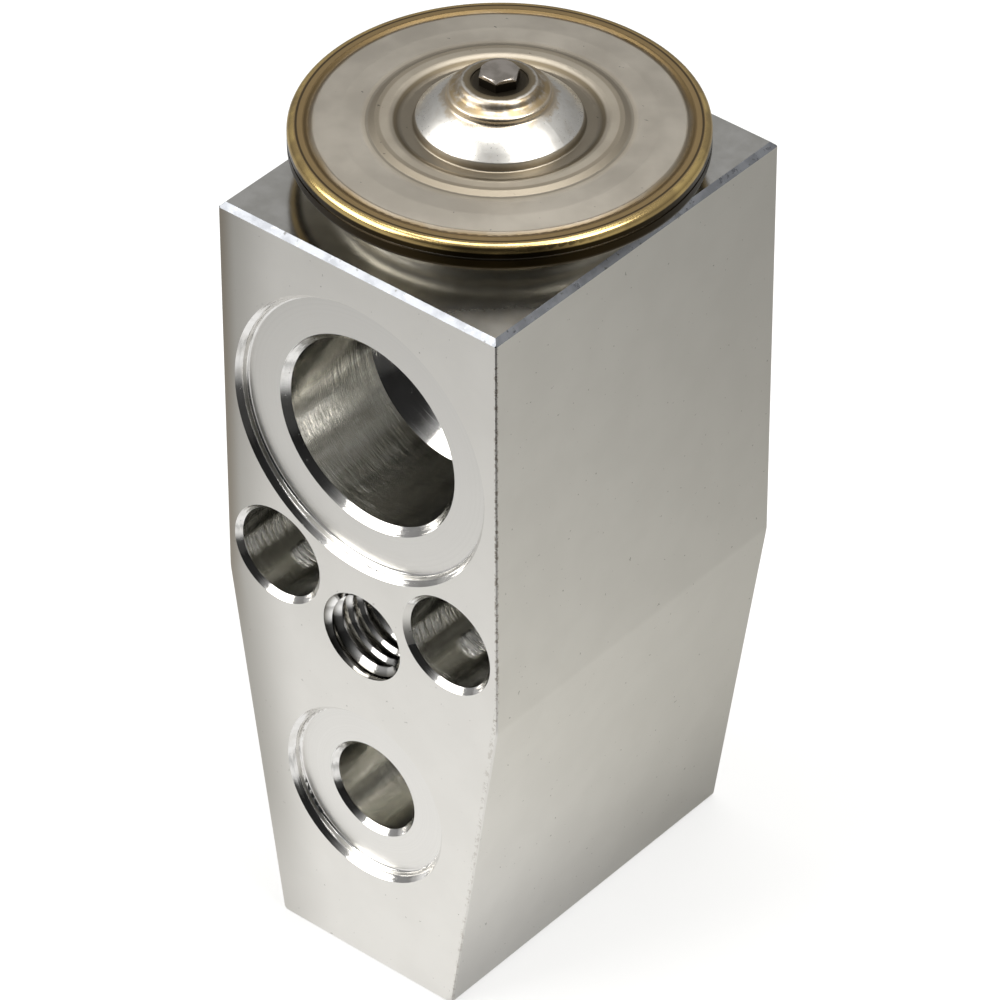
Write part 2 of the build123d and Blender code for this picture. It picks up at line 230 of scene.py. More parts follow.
class Surface(Bench):
    """A material's node tree, with its place on the object in millimetres."""

    def __init__(self, name: str) -> None:
        """Starts an empty material.

        Args:
            name: The material's name.
        """
        self.material = bpy.data.materials.new(name)
        self.material.use_nodes = True
        super().__init__(self.material.node_tree)
        spot = self.add("ShaderNodeTexCoord")
        scaled = self.add("ShaderNodeVectorMath", {"operation": "SCALE"},
                          {0: spot.outputs["Object"], "Scale": 1.0 / MM})
        self.place = scaled.outputs[0]
        self.x, self.y, self.z = self.axes(self.place)

    def stretch(self, x: float, y: float, z: float) -> bpy.types.NodeSocket:
        """The place in millimetres, scaled apart along the three axes."""
        return self.add("ShaderNodeMapping", None, {"Vector": self.place, "Scale": (x, y, z)}).outputs[0]

    def point(self, x: Number, y: Number, z: Number) -> bpy.types.NodeSocket:
        """A vector made of three numbers."""
        return self.add("ShaderNodeCombineXYZ", None, {0: x, 1: y, 2: z}).outputs[0]

    def reach(self, across: Wire, along: Wire, least: float = 0.0) -> Wire:
        """Distance from an axis.

        Args:
            across: The distance one way.
            along: The distance the other way.
            least: What keeps the result above 0 where it is divided by.

        Returns:
            The distance.
        """
        square = across * across + along * along
        return (square + least if least else square) ** 0.5

    def noise(self, scale: float, detail: float = 3.0, vector: bpy.types.NodeSocket | None = None,
              roughness: float = 0.5) -> Wire:
        """Cloudy noise from 0 to 1.

        Args:
            scale: Clouds per millimetre.
            detail: Octaves of finer noise.
            vector: Where it is read, or None for the place on the object.
            roughness: How strong the finer octaves are.

        Returns:
            The noise's value.
        """
        node = self.add("ShaderNodeTexNoise", None, {"Vector": vector or self.place, "Scale": scale,
                                                     "Detail": detail, "Roughness": roughness})
        return self.number(node, 0)

    def mix(self, factor: Number, first: Any, second: Any) -> bpy.types.NodeSocket:
        """A colour between two colours.

        Args:
            factor: 0 for the first, 1 for the second.
            first: A colour or a colour socket.
            second: A colour or a colour socket.

        Returns:
            The mixed colour's socket.
        """
        node = self.add("ShaderNodeMix", {"data_type": "RGBA"}, {0: factor, 6: first, 7: second})
        return node.outputs[2]

    def relief(self, height: Wire, depth: float,
               normal: bpy.types.NodeSocket | None = None) -> bpy.types.NodeSocket:
        """Bumps from a height.

        Args:
            height: The height, about 0 to 1.
            depth: What 1 is worth, in millimetres.
            normal: Bumps that these are laid over, or None.

        Returns:
            The bent normal's socket.
        """
        sockets: dict[str, Any] = {"Strength": 1.0, "Distance": depth * MM, "Height": height}
        if normal:
            sockets["Normal"] = normal
        return self.add("ShaderNodeBump", None, sockets).outputs[0]

    def finish(self, colour: Any, roughness: Any, metallic: Any = 1.0, normal: Any = None,
               extra: Mapping[str, Any] | None = None) -> bpy.types.Material:
        """Ends the material in its shader.

        Args:
            colour: Base colour, a value or a socket.
            roughness: A number or a wire.
            metallic: 1 for bare metal, 0 for the rest, or a wire.
            normal: The normal's socket, or None for the plain surface.
            extra: More shader inputs by name.

        Returns:
            The finished material.
        """
        sockets: dict[str, Any] = {"Base Color": colour, "Roughness": roughness, "Metallic": metallic}
        if normal:
            sockets["Normal"] = normal
        sockets.update(extra or {})
        shader = self.add("ShaderNodeBsdfPrincipled", None, sockets)
        self.add("ShaderNodeOutputMaterial", None, {"Surface": shader.outputs[0]})
        return self.material


@dataclass(frozen=True)
class SatinFace:
    """The block's milled outer faces: fine satin with faint clouds, specks and a worn front edge, with
    painted shade toward the front face's left edge and toward the back of the right face.
    """

    name: str = "satin_aluminium"
    light: Colour = (0.83, 0.812, 0.77, 1.0)
    dull: Colour = (0.75, 0.732, 0.69, 1.0)
    # Burr colour for the worn front right edge, also laid high on the front face's left edge as painted
    # shade.
    burr: Colour = (0.24, 0.19, 0.13, 1.0)
    # Painted shade colour: darkens the front face toward its left edge and the right face toward the back.
    shaded: Colour = (0.42, 0.405, 0.37, 1.0)
    speck: Colour = tone(120, 116, 106)
    roughness: float = 0.36
    half_width: float = 14.0
    foot_half_width: float = 9.1
    taper: float = 0.144
    front: float = -17.0
    wear: float = 0.65
    # How strongly painted shade darkens the right face toward the back.
    back_shade: float = 0.34

    def build(self) -> bpy.types.Material:
        """Makes the material.

        Returns:
            The finished material.
        """
        s = Surface(self.name)
        clouds = s.noise(0.22, 3.0)
        grain = s.noise(9.0, 4.0, None, 0.7)
        lay = s.noise(1.0, 4.0, s.stretch(14.0, 14.0, 1.2), 0.6)
        specks = s.noise(2.6, 2.0).rise(0.735, 0.76)
        side = (s.z * self.taper + self.foot_half_width).least(self.half_width)
        edge = ((s.x - side).size() + (s.y - self.front).size()).rise(0.30, 0.12)
        ragged = edge * s.noise(2.4, 4.0, None, 0.7).rise(0.50, 0.58) * (0.4 + 0.6 * s.z.rise(30.0, 36.0))
        ahead = (s.y - self.front).rise(0.6, 0.1)
        # Painted shade: the front face darkens toward its left edge, more so higher up.
        left = (s.x + side).rise(6.5, -1.0) * (0.6 + 0.4 * s.z.rise(3.0, 14.0)) * ahead
        # Painted shade: a narrow band high on the front face's left edge, in the burr colour.
        corner = (s.x + side).rise(1.7, 0.1) * s.z.rise(24.0, 38.0) * ahead
        colour = s.mix(clouds.rise(0.3, 0.7) * 0.4 + 0.6, self.dull, self.light)
        colour = s.mix((grain - 0.5).rise(0.02, 0.3) * 0.16, colour, self.dull)
        colour = s.mix(left, colour, self.shaded)
        colour = s.mix(corner * 0.55, colour, self.burr)
        # Painted shade: the right face grows darker toward the back.
        right = (s.x - side).rise(-0.12, -0.02) * s.y.rise(-20.0, 20.0)
        colour = s.mix(right * self.back_shade, colour, self.shaded)
        colour = s.mix(specks * 0.5, colour, self.speck)
        colour = s.mix(ragged * self.wear, colour, self.burr)
        roughness = self.roughness + (clouds - 0.5) * 0.03 + (grain - 0.5) * 0.10 + (lay - 0.5) * 0.04
        normal = s.relief(grain, 0.0022)
        normal = s.relief(lay, 0.0008, normal)
        return s.finish(colour, roughness, 1.0, normal)


@dataclass(frozen=True)
class CutFace:
    """Metal turned bright by a tool: the walls and lips of recesses and bores, with fine lines round them."""

    name: str = "bright_cut_aluminium"
    light: Colour = (0.84, 0.83, 0.81, 1.0)
    dull: Colour = tone(198, 194, 186)
    roughness: float = 0.11
    line_depth: float = 0.028

    def build(self) -> bpy.types.Material:
        """Makes the material.

        Returns:
            The finished material.
        """
        s = Surface(self.name)
        clouds = s.noise(0.8, 3.0)
        fine = s.noise(6.0, 3.0, None, 0.6)
        nicks = s.noise(1.9, 3.0).rise(0.66, 0.72)
        lines = s.noise(1.0, 2.0, s.point(0.0, s.y * 5.0, 0.0), 0.6)
        colour = s.mix(clouds.rise(0.35, 0.7) * 0.35, self.light, self.dull)
        roughness = self.roughness + (fine - 0.5) * 0.08 + nicks * 0.18
        return s.finish(colour, roughness, 1.0, s.relief(lines, self.line_depth, s.relief(fine, 0.002)))


@dataclass(frozen=True)
class TopFace:
    """The block's top, fly-cut smooth, with a soft shine in which the head's cup shows."""

    name: str = "top_aluminium"
    light: Colour = (0.67, 0.66, 0.63, 1.0)
    dull: Colour = (0.57, 0.56, 0.525, 1.0)
    roughness: float = 0.16
    tip_roughness: float = 0.20

    def build(self) -> bpy.types.Material:
        """Makes the material.

        Returns:
            The finished material.
        """
        s = Surface(self.name)
        clouds = s.noise(0.5, 3.0)
        fine = s.noise(6.0, 3.0, None, 0.6)
        smears = s.noise(0.7, 3.0, s.stretch(0.6, 2.0, 1.0), 0.6)
        colour = s.mix(clouds.rise(0.35, 0.7), self.dull, self.light)
        tip = (s.x - s.y).rise(20.0, 29.0)
        roughness = self.roughness + tip * self.tip_roughness + (smears - 0.5) * 0.10 + (fine - 0.5) * 0.03
        return s.finish(colour, roughness, 1.0, s.relief(fine, 0.0015))


@dataclass(frozen=True)
class TopEdge:
    """The chamfer round the block's top, a cool bright line with small nicks."""

    name: str = "top_edge_aluminium"
    light: Colour = (0.27, 0.28, 0.30, 1.0)
    dull: Colour = (0.21, 0.218, 0.235, 1.0)
    bruise: Colour = (0.13, 0.13, 0.13, 1.0)
    roughness: float = 0.38

    def build(self) -> bpy.types.Material:
        """Makes the material.

        Returns:
            The finished material.
        """
        s = Surface(self.name)
        clouds = s.noise(0.7, 3.0)
        nicks = s.noise(1.6, 3.0, None, 0.6)
        fine = s.noise(6.0, 3.0, None, 0.6)
        colour = s.mix(clouds.rise(0.4, 0.65), self.light, self.dull)
        colour = s.mix(nicks.rise(0.62, 0.70), colour, self.bruise)
        roughness = self.roughness + (fine - 0.5) * 0.12 - nicks.rise(0.40, 0.34) * 0.14
        return s.finish(colour, roughness, 1.0, s.relief(nicks, 0.02))


@dataclass(frozen=True)
class FacedFloor:
    """A recess's floor, faced by a turning tool that leaves faint rings round the port."""

    name: str
    height: float
    light: Colour = (0.82, 0.805, 0.77, 1.0)
    dull: Colour = tone(196, 193, 186)
    roughness: float = 0.34

    def build(self) -> bpy.types.Material:
        """Makes the material.

        Returns:
            The finished material.
        """
        s = Surface(self.name)
        radius = s.reach(s.x, s.z - self.height)
        rings = s.noise(1.0, 4.0, s.point(radius * 5.0, 0.0, 0.0), 0.7)
        clouds = s.noise(0.3, 3.0)
        scuffs = s.noise(1.2, 3.0, s.stretch(0.5, 1.0, 3.0)).rise(0.6, 0.75)
        colour = s.mix((rings - 0.5).rise(-0.1, 0.25) * 0.12, self.light, self.dull)
        roughness = self.roughness + (rings - 0.5) * 0.06 + (clouds - 0.5) * 0.10 + scuffs * 0.06
        return s.finish(colour, roughness, 1.0, s.relief(rings, 0.0005))


@dataclass(frozen=True)
class Stripe:
    """A stripe of painted shade along a bore's wall, with angles in degrees from +X."""

    angle: float
    half_width: float
    darkness: float


@dataclass(frozen=True)
class Patch:
    """A painted glint on a bore's wall, paler and less metallic than the wall in a streaked shape: where it
    lies, how pale it is and how high its burr stands.
    """

    angle: float
    half_width: float
    place: float
    half_length: float
    paleness: float
    burr: float


@dataclass(frozen=True)
class BoredWall:
    """The wall of a port, of the bolt holes or of a passage, with stripes of painted shade along the block's
    depth.
    """

    name: str = "bored_aluminium"
    height: float = 53.4
    offset: float = 0.0
    stripes: tuple[Stripe, ...] = ()
    patches: tuple[Patch, ...] = ()
    light: Colour = (0.92, 0.905, 0.855, 1.0)
    dark: Colour = (0.70, 0.69, 0.635, 1.0)
    # Painted shade colour for the dark stripes.
    painted_stripe_shade: Colour = (0.20, 0.195, 0.17, 1.0)
    # Painted highlight colour for the glint patches.
    painted_glint: Colour = (0.97, 0.96, 0.93, 1.0)
    roughness: float = 0.16
    line_depth: float = 0.045

    def build(self) -> bpy.types.Material:
        """Makes the material.

        Returns:
            The finished material.
        """
        s = Surface(self.name)
        streaks = s.noise(0.8, 3.0, s.stretch(1.0, 0.15, 1.0), 0.6)
        fine = s.noise(1.0, 2.0, s.point(s.x * 0.2, s.y * 11.0, s.z * 0.2), 0.6)
        across = s.x - s.x.maths("SIGN", s.x) * self.offset
        drop = s.z - self.height
        radius = s.reach(across, drop, 0.0001)

        def sector(angle: float, half: float, fade: float, waver: float) -> Wire:
            """Masks the wall on one side of the axis.

            Args:
                angle: The middle of the sector, in degrees from +X.
                half: Half of its width.
                fade: How much further it fades out.
                waver: How much its edge wavers with the streaks.

            Returns:
                The mask, 1 in the sector.
            """
            turn = math.radians(angle)
            facing = (across * math.cos(turn) + drop * math.sin(turn)) / radius + (streaks - 0.5) * waver
            return facing.rise(math.cos(math.radians(half + fade)), math.cos(math.radians(half)))

        colour = s.mix(streaks.rise(0.35, 0.65), self.dark, self.light)
        # Painted shade: dark stripes at given angles round the axis.
        for stripe in self.stripes:
            stain = sector(stripe.angle, stripe.half_width, 10.0, 0.05) * stripe.darkness
            colour = s.mix(stain, colour, self.painted_stripe_shade)
        metal: Any = 1.0
        normal = s.relief(fine, self.line_depth)
        # Painted highlight: each patch lightens the wall and lowers its metal to stand for a glint.
        for patch in self.patches:
            brushing = s.noise(1.0, 3.0, s.stretch(0.5, 3.4, 0.5), 0.6).rise(0.30, 0.62)
            painted_glint_mask = (sector(patch.angle, patch.half_width, 14.0, 0.03)
                    * s.y.band(patch.place, patch.half_length, 1.3) * brushing)
            colour = s.mix(painted_glint_mask, colour, self.painted_glint)
            metal = metal - painted_glint_mask * patch.paleness
            normal = s.relief(painted_glint_mask, patch.burr, normal)
        roughness = self.roughness + (streaks - 0.5) * 0.10
        return s.finish(colour, roughness, metal, normal)


@dataclass(frozen=True)
class RolledThread:
    """The clamp hole's thread, bright on its crests, with painted shade darkening its roots."""

    name: str = "tapped_aluminium"
    crest: Colour = (0.93, 0.92, 0.90, 1.0)
    root_shade: Colour = (0.20, 0.19, 0.165, 1.0)
    height: float = 33.9
    crest_radius: float = 3.4
    root_radius: float = 4.05
    roughness: float = 0.10

    def build(self) -> bpy.types.Material:
        """Makes the material.

        Returns:
            The finished material.
        """
        s = Surface(self.name)
        radius = s.reach(s.x, s.z - self.height)
        fine = s.noise(5.0, 3.0)
        # Painted shade: darker toward the thread's roots.
        colour = s.mix(radius.rise(self.crest_radius + 0.1, self.root_radius), self.crest, self.root_shade)
        return s.finish(colour, self.roughness + (fine - 0.5) * 0.08, 1.0, s.relief(fine, 0.003))


@dataclass(frozen=True)
class LidSheet:
    """The head's upper cover: pressed stainless, tinted by heat at the rim and round the cone's weld, with
    painted shade in the moat, on the steps, round the rim and round the plug.
    """

    name: str = "lid_stainless"
    sheet: Colour = (0.68, 0.625, 0.535, 1.0)
    shade: Colour = (0.58, 0.53, 0.45, 1.0)
    bronze: Colour = (0.37, 0.26, 0.125, 1.0)
    gold: Colour = (0.80, 0.59, 0.24, 1.0)
    # Painted black shade for the rim's side and its groove.
    painted_black_shade: Colour = (0.03, 0.02, 0.007, 1.0)
    # Sooty dark dashes, also used as painted shade for the line inside the rim's roll, the step's outer line
    # and round the plug.
    soot_and_painted_shade: Colour = (0.03, 0.025, 0.018, 1.0)
    silver: Colour = (0.80, 0.78, 0.735, 1.0)
    scorch: Colour = (0.46, 0.34, 0.18, 1.0)
    stain: Colour = (0.31, 0.24, 0.15, 1.0)
    # Smoky weld tint on the nose, also used as painted shade in the moat and on the steps.
    smoke_tint_and_painted_shade: Colour = (0.17, 0.14, 0.095, 1.0)
    rim_radius: float = 16.4
    lid_height: float = 74.6
    tint_inset: float = 2.2
    groove_inset: float = 1.6
    line_inset: float = 0.72
    roll_inset: float = 0.62
    step_radius: float = 9.3
    cone_radius: float = 6.5
    nose_radius: float = 3.05
    weld_radius: float = 4.0
    roughness: float = 0.34

    def build(self) -> bpy.types.Material:
        """Makes the material.

        Returns:
            The finished material.
        """
        s = Surface(self.name)
        radius = s.reach(s.x, s.y)
        clouds = s.noise(0.25, 3.0)
        fine = s.noise(5.0, 4.0, None, 0.65)
        blots = s.noise(0.9, 4.0, None, 0.65)
        wander = radius + (s.noise(0.5, 2.0) - 0.5) * 0.5
        tint = wander.rise(self.rim_radius - self.tint_inset, self.rim_radius - self.tint_inset + 0.8)
        roll = radius.rise(self.rim_radius - self.roll_inset, self.rim_radius - self.roll_inset + 0.16)
        line = radius.band(self.rim_radius - self.line_inset, 0.05, 0.07)
        coined = radius.band(self.rim_radius - self.groove_inset, 0.34, 0.12)
        side = s.z.rise(self.lid_height - 0.55, self.lid_height - 0.72) * roll
        cone = radius.rise(self.cone_radius + 0.15, self.cone_radius - 0.1)
        moat = radius.band(self.cone_radius + 0.75, 0.75, 0.35)
        steps = radius.band(self.step_radius, 1.1, 0.5)
        slope = radius.band(self.step_radius + 0.4, 0.36, 0.15)
        outline = radius.band(self.step_radius + 0.95, 0.06, 0.10)
        wall = radius.band(self.nose_radius + 0.35, 0.40, 0.15)
        weld = (radius + (blots - 0.5) * 1.7).band(self.weld_radius, 0.25, 0.50)
        # Sooty weld tint on the nose top, partly painted shade.
        soot_and_painted_shade = (radius + (blots - 0.5) * 0.5).rise(self.nose_radius - 0.02, self.nose_radius - 0.40)
        # Painted shadow in the well round the plug.
        painted_plug_shadow = radius.rise(self.nose_radius - 0.45, self.nose_radius - 1.1)
        dashes = s.noise(0.9, 3.0, s.stretch(1.0, 2.4, 1.0), 0.6).rise(0.715, 0.74)
        colour = s.mix(clouds.rise(0.35, 0.7), self.shade, self.sheet)
        # Painted shade: the moat round the cone, the steps, their slope and their outer line are darkened.
        colour = s.mix(moat * 0.78 + steps * 0.50, colour, self.smoke_tint_and_painted_shade)
        colour = s.mix(slope * 0.5, colour, self.smoke_tint_and_painted_shade)
        colour = s.mix(outline * 0.35, colour, self.soot_and_painted_shade)
        colour = s.mix(tint, colour, self.bronze)
        # Painted shade: the rim's groove, and next the thin line inside the roll.
        colour = s.mix(coined * 0.55, colour, self.painted_black_shade)
        colour = s.mix(line * 0.8, colour, self.soot_and_painted_shade)
        colour = s.mix(roll, colour, self.gold)
        patina = s.noise(0.28, 2.0).rise(0.42, 0.60)
        colour = s.mix(roll * patina * 0.6, colour, self.bronze)
        # Painted shade: the rim's side below the roll.
        colour = s.mix(side, colour, self.painted_black_shade)
        mottled = s.mix(blots.rise(0.48, 0.70) * 0.35, self.silver, self.shade)
        colour = s.mix(cone, colour, mottled)
        colour = s.mix(wall * (0.55 + blots.rise(0.35, 0.6) * 0.40), colour, self.stain)
        colour = s.mix(weld * 0.6, colour, self.scorch)
        colour = s.mix(soot_and_painted_shade, colour, self.smoke_tint_and_painted_shade)
        colour = s.mix(painted_plug_shadow * 0.95, colour, self.soot_and_painted_shade)
        colour = s.mix(dashes * (1.0 - cone) * (1.0 - tint) * 0.6, colour, self.soot_and_painted_shade)
        roughness = (self.roughness + (fine - 0.5) * 0.12 + (clouds - 0.5) * 0.06 - cone * 0.05 - roll * 0.14
                     + steps * 0.16 + soot_and_painted_shade * 0.20 + wall * 0.06 + coined * 0.12)
        return s.finish(colour, roughness, 1.0, s.relief(fine, 0.003))


@dataclass(frozen=True)
class CupSheet:
    """The head's lower cover: smooth drawn stainless with painted black shade along the flange's rounded
    side, gold along its lower edge.
    """

    name: str = "cup_stainless"
    sheet: Colour = (0.62, 0.59, 0.53, 1.0)
    shade: Colour = (0.53, 0.505, 0.45, 1.0)
    painted_black_shade: Colour = (0.03, 0.02, 0.007, 1.0)
    gold: Colour = (0.36, 0.26, 0.11, 1.0)
    rim_radius: float = 16.4
    rim_bottom: float = 72.2
    roughness: float = 0.34

    def build(self) -> bpy.types.Material:
        """Makes the material.

        Returns:
            The finished material.
        """
        s = Surface(self.name)
        radius = s.reach(s.x, s.y)
        fine = s.noise(3.0, 3.0)
        clouds = s.noise(0.3, 2.0)
        side = radius.rise(self.rim_radius - 1.3, self.rim_radius - 0.8)
        edge = radius.band(self.rim_radius - 0.32, 0.15, 0.12)
        edge = edge * s.z.rise(self.rim_bottom + 0.9, self.rim_bottom + 0.6)
        colour = s.mix(clouds.rise(0.35, 0.65), self.shade, self.sheet)
        # Painted shade: the flange's rounded side.
        colour = s.mix(side, colour, self.painted_black_shade)
        colour = s.mix(edge, colour, self.gold)
        return s.finish(colour, self.roughness + (fine - 0.5) * 0.06, 1.0, s.relief(clouds, 0.004))


@dataclass(frozen=True)
class PlugSteel:
    """The charging plug's steel: a worn grey-brown top, with painted black shade on its sides."""

    name: str = "plug_steel"
    top: Colour = (0.52, 0.475, 0.43, 1.0)
    worn: Colour = (0.37, 0.335, 0.295, 1.0)
    painted_black_shade: Colour = (0.03, 0.025, 0.018, 1.0)
    shoulder: float = 79.08
    roughness: float = 0.24

    def build(self) -> bpy.types.Material:
        """Makes the material.

        Returns:
            The finished material.
        """
        s = Surface(self.name)
        clouds = s.noise(0.7, 3.0)
        fine = s.noise(4.0, 3.0)
        low = s.z.rise(self.shoulder, self.shoulder - 0.06)
        colour = s.mix(clouds.rise(0.35, 0.65), self.worn, self.top)
        # Painted shade: the sides below the shoulder.
        colour = s.mix(low, colour, self.painted_black_shade)
        roughness = self.roughness + (fine - 0.5) * 0.12 + low * 0.26
        return s.finish(colour, roughness, 1.0, s.relief(fine, 0.004))


@dataclass(frozen=True)
class TurnedMetal:
    """A plain turned or drawn metal for the smaller pieces, with fine rings along its length."""

    name: str
    light: Colour
    dark: Colour
    roughness: float = 0.25
    rings: float = 6.0

    def build(self) -> bpy.types.Material:
        """Makes the material.

        Returns:
            The finished material.
        """
        s = Surface(self.name)
        rings = s.noise(1.0, 3.0, s.point(0.0, 0.0, s.z * self.rings))
        clouds = s.noise(0.7, 3.0)
        colour = s.mix(clouds.rise(0.35, 0.65), self.dark, self.light)
        roughness = self.roughness + (rings - 0.5) * 0.12
        return s.finish(colour, roughness, 1.0, s.relief(rings, 0.004))


@dataclass(frozen=True)
class SealRubber:
    """Black-green seal rubber with a dull skin."""

    name: str = "seal_rubber"
    skin: Colour = (0.035, 0.05, 0.042, 1.0)
    worn: Colour = (0.07, 0.085, 0.075, 1.0)
    roughness: float = 0.52

    def build(self) -> bpy.types.Material:
        """Makes the material.

        Returns:
            The finished material.
        """
        s = Surface(self.name)
        clouds = s.noise(1.5, 4.0)
        colour = s.mix(clouds.rise(0.45, 0.75), self.skin, self.worn)
        return s.finish(colour, self.roughness + (clouds - 0.5) * 0.2, 0.0, s.relief(clouds, 0.01))


class Region(Enum):
    """The finishes that the block's faces take, in the order of its material slots."""

    SATIN = 0
    CUT = 1
    TOP = 2
    TOP_EDGE = 3
    SUCTION_FLOOR = 4
    LIQUID_FLOOR = 5
    SUCTION_BORE = 6
    LIQUID_BORE = 7
    BOLT_HOLE = 8
    THREAD = 9


@dataclass
class Block:
    """The machined aluminium block, a welded copy of its solid with a finish for each kind of face."""

    half_depth: float = 17.0
    least_half_width: float = 9.0
    height: float = 69.8
    recess_depth: float = 1.0
    lip_depth: float = 1.62
    suction_height: float = 53.4
    liquid_height: float = 17.4
    outlet_height: float = 26.8
    cone_start: float = 11.0
    cone_end: float = 12.75
    thread_height: float = 33.9
    thread_radius: float = 4.1
    bolt_height: float = 37.7
    bolt_offset: float = 8.76
    bolt_reach: float = 4.7
    top_chamfer: float = 0.45
    top_opening_radius: float = 10.9
    flatness: float = 0.01

    def build(self) -> bpy.types.Object:
        """Makes the block and lets it stand for its solid.

        Returns:
            The block's object.
        """
        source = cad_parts["valve_body"].data
        mesh, kept = self._weld(source)
        finishes = (
            SatinFace(), CutFace(), TopFace(), TopEdge(),
            FacedFloor("suction_recess_floor", self.suction_height, (0.78, 0.765, 0.73, 1.0)),
            FacedFloor("liquid_recess_floor", self.liquid_height),
            # Each bore's stripes are painted shade; the bolt holes' patches are painted glints.
            BoredWall("suction_bore", self.suction_height, 0.0,
                      (Stripe(148.0, 33.0, 0.88), Stripe(262.0, 26.0, 0.35))),
            BoredWall("liquid_bore", self.liquid_height),
            BoredWall("bolt_holes", self.bolt_height, self.bolt_offset,
                      (Stripe(226.0, 8.0, 0.6), Stripe(160.0, 25.0, 0.6)),
                      (Patch(203.0, 3.0, -14.2, 2.4, 0.35, 0.05), Patch(249.0, 4.0, -11.6, 0.6, 0.8, 0.32))),
            RolledThread(),
        )
        for finish in finishes:
            mesh.materials.append(finish.build())
        self._sort_faces(mesh)
        block = bpy.data.objects.new("machined_block", mesh)
        bpy.context.scene.collection.objects.link(block)
        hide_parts("valve_body")
        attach(block, "valve")
        log.info("machined_block: %d faces of %d", len(mesh.polygons), kept)
        return block

    @staticmethod
    def _weld(source: bpy.types.Mesh) -> tuple[bpy.types.Mesh, int]:
        """Joins a solid's loose triangles and keeps the way each corner is shaded.

        Args:
            source: The solid's mesh.

        Returns:
            The joined mesh and the number of triangles in the source.
        """
        spots = np.empty(len(source.vertices) * 3)
        source.vertices.foreach_get("co", spots)
        corners = np.empty(len(source.loops), dtype=int)
        source.loops.foreach_get("vertex_index", corners)
        shade = np.empty(len(source.loops) * 3)
        source.corner_normals.foreach_get("vector", shade)
        keys = np.round(spots.reshape(-1, 3) * 1e7).astype(np.int64)
        _, first, joined = np.unique(keys, axis=0, return_index=True, return_inverse=True)
        triangles = joined.reshape(-1)[corners].reshape(-1, 3)
        whole = ((triangles[:, 0] != triangles[:, 1]) & (triangles[:, 1] != triangles[:, 2])
                 & (triangles[:, 2] != triangles[:, 0]))
        mesh = bpy.data.meshes.new("machined_block")
        mesh.from_pydata(spots.reshape(-1, 3)[first].tolist(), [], triangles[whole].tolist())
        mesh.shade_smooth()
        mesh.normals_split_custom_set(shade.reshape(-1, 3, 3)[whole].reshape(-1, 3).tolist())
        return mesh, len(triangles)

    def _sort_faces(self, mesh: bpy.types.Mesh) -> None:
        """Gives each face the finish of its region.

        Args:
            mesh: The block's mesh.
        """
        for face in mesh.polygons:
            face.material_index = self._region(face.center / MM, face.normal).value

    def _region(self, spot: Vector, normal: Vector) -> Region:
        """Tells a face's region from its place.

        Args:
            spot: The face's middle, in millimetres.
            normal: The way it points.

        Returns:
            The region.
        """
        depth = self.half_depth - abs(spot.y)
        if depth < self.flatness and abs(normal.y) > 0.99 or spot.z < self.flatness and normal.z < -0.99:
            return Region.SATIN
        outward = normal.x * spot.x > 0 and normal.y * spot.y > 0 and abs(normal.z) < 0.3
        if outward and depth < 1.0 and abs(normal.x) > 0.05 and abs(normal.y) > 0.05:
            return Region.SATIN
        sideways = abs(normal.y) < 0.02 and normal.x * spot.x > 0 and abs(normal.x) > 0.9
        if sideways and abs(spot.x) > self.least_half_width:
            return Region.SATIN
        if abs(depth - self.recess_depth) < self.flatness and abs(normal.y) > 0.99:
            middle = (self.suction_height + (self.liquid_height if spot.y < 0 else self.outlet_height)) / 2
            return Region.SUCTION_FLOOR if spot.z > middle else Region.LIQUID_FLOOR
        across = math.hypot(spot.x, spot.z - self.thread_height)
        if spot.y < 0 and across < self.thread_radius:
            return Region.THREAD
        highest = spot.z > self.height - self.top_chamfer - self.flatness
        if highest and math.hypot(spot.x, spot.y) > self.top_opening_radius:
            return Region.TOP if normal.z > 0.99 else Region.TOP_EDGE
        conical = self.cone_start - self.flatness < depth < self.cone_end and abs(normal.y) > 0.1
        if depth < self.lip_depth or conical:
            return Region.CUT
        beside, above = abs(spot.x) - self.bolt_offset, spot.z - self.bolt_height
        if abs(beside) < self.bolt_reach and abs(above) < self.bolt_reach:
            return Region.BOLT_HOLE
        return Region.SUCTION_BORE if spot.z > self.thread_height + self.thread_radius else Region.LIQUID_BORE


